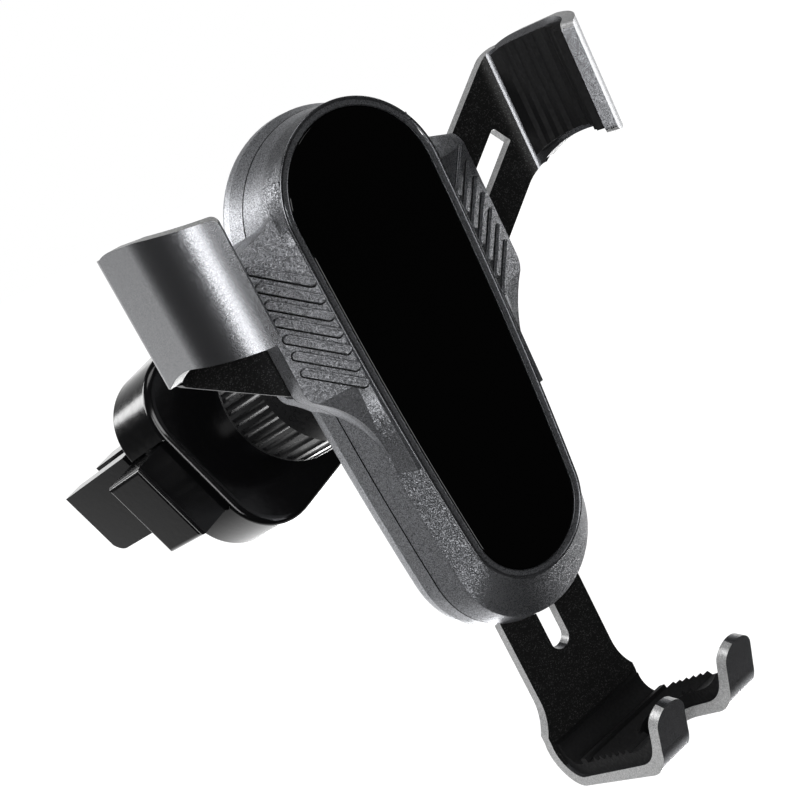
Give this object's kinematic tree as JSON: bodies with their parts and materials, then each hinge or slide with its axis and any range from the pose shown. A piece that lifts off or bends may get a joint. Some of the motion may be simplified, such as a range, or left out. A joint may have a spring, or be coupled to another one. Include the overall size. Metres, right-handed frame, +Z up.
{
  "type": "air vent phone holder",
  "caption": "Gravity phone holder for a car air vent: oval glossy panel, two side claws and a foot linked together, ball joint with ribbed nut and press-tab vent clip.",
  "frame": {"origin": "on the face of the front panel that the phone rests against, on the body's plane of symmetry, 27 mm in front of the ball's centre", "axes": "+X to the right seen from the phone's side, -Y out of the panel towards the phone, +Z up along the body"},
  "size_m": [0.0818, 0.1302, 0.1228],
  "materials": {
    "shell_paint": "metallic flake paint on moulded plastic",
    "panel_gloss": "high gloss",
    "plate_black": "satin black coating",
    "silicone": "matte",
    "clip_plastic": "gloss",
    "steel": "bright",
    "dark_plastic": "matte"
  },
  "bodies": {
    "clip": {"clip_housing": "clip_plastic", "clip_back_cover": "clip_plastic", "cover_screw_upper": "steel", "cover_screw_lower": "steel", "fixed_jaw": "clip_plastic", "fixed_jaw_pad": "silicone", "lever_pin": "steel", "clip_spring": "steel"},
    "nut": {"swivel_nut": "clip_plastic"},
    "lever": {"press_lever": "clip_plastic", "moving_jaw_pad": "silicone"},
    "collar": {"friction_ring": "dark_plastic"},
    "stud": {"ball_stud": "steel"},
    "holder": {"front_shell": "shell_paint", "front_panel": "panel_gloss", "rear_shell": "shell_paint", "shell_screw_upper_right": "steel", "shell_screw_upper_left": "steel", "shell_screw_lower_right": "steel", "shell_screw_lower_left": "steel", "stud_screw": "steel", "return_spring": "steel"},
    "foot_group": {"foot": "plate_black", "foot_pad": "silicone", "link_yoke": "steel", "link_rivet_right": "steel", "link_rivet_left": "steel"},
    "right_arm_group": {"right_arm": "plate_black", "right_claw_pad": "silicone", "right_link_pin": "steel"},
    "left_arm_group": {"left_arm": "plate_black", "left_claw_pad": "silicone", "left_link_pin": "steel"}
  },
  "joints": [
    {"name": "nut_turn", "type": "hinge", "parent": "clip", "child": "nut", "pos_m": [0, 0.027, 0.0108], "axis": [-0.246, 0.9444, -0.2181], "continuous": true},
    {"name": "lever_press", "type": "hinge", "parent": "clip", "child": "lever", "pos_m": [-0.02454, 0.06646, -0.00156], "axis": [-0.2189, 0.1651, 0.9617], "range_deg": [0, 8], "stiffness_Nm_per_rad": 0.6, "springref_deg": -20.05},
    {"name": "ball_swivel", "type": "hinge", "parent": "clip", "child": "collar", "pos_m": [0, 0.027, 0.0108], "axis": [-0.246, 0.9444, -0.2181], "continuous": true},
    {"name": "ball_tilt", "type": "hinge", "parent": "collar", "child": "stud", "pos_m": [0, 0.027, 0.0108], "axis": [0.6635, 0, -0.7482], "range_deg": [-44, 5.5]},
    {"name": "ball_spin", "type": "hinge", "parent": "stud", "child": "holder", "pos_m": [0, 0.027, 0.0108], "axis": [0, 1, 0], "continuous": true},
    {"name": "foot_slide", "type": "slide", "parent": "holder", "child": "foot_group", "axis": [0, 0, -1], "range_m": [0, 0.007], "stiffness_N_per_m": 60, "springref_m": -0.012, "deforming": ["return_spring"]},
    {"name": "right_arm_slide", "type": "slide", "parent": "holder", "child": "right_arm_group", "axis": [-0.8192, 0, -0.5736], "range_m": [0, 0.01225]},
    {"name": "left_arm_slide", "type": "slide", "parent": "holder", "child": "left_arm_group", "axis": [0.8192, 0, -0.5736], "range_m": [0, 0.01225]}
  ],
  "couplings": [
    {"joint": "right_arm_slide", "follows": "foot_slide", "ratio": 1.7434},
    {"joint": "left_arm_slide", "follows": "foot_slide", "ratio": 1.7434}
  ]
}
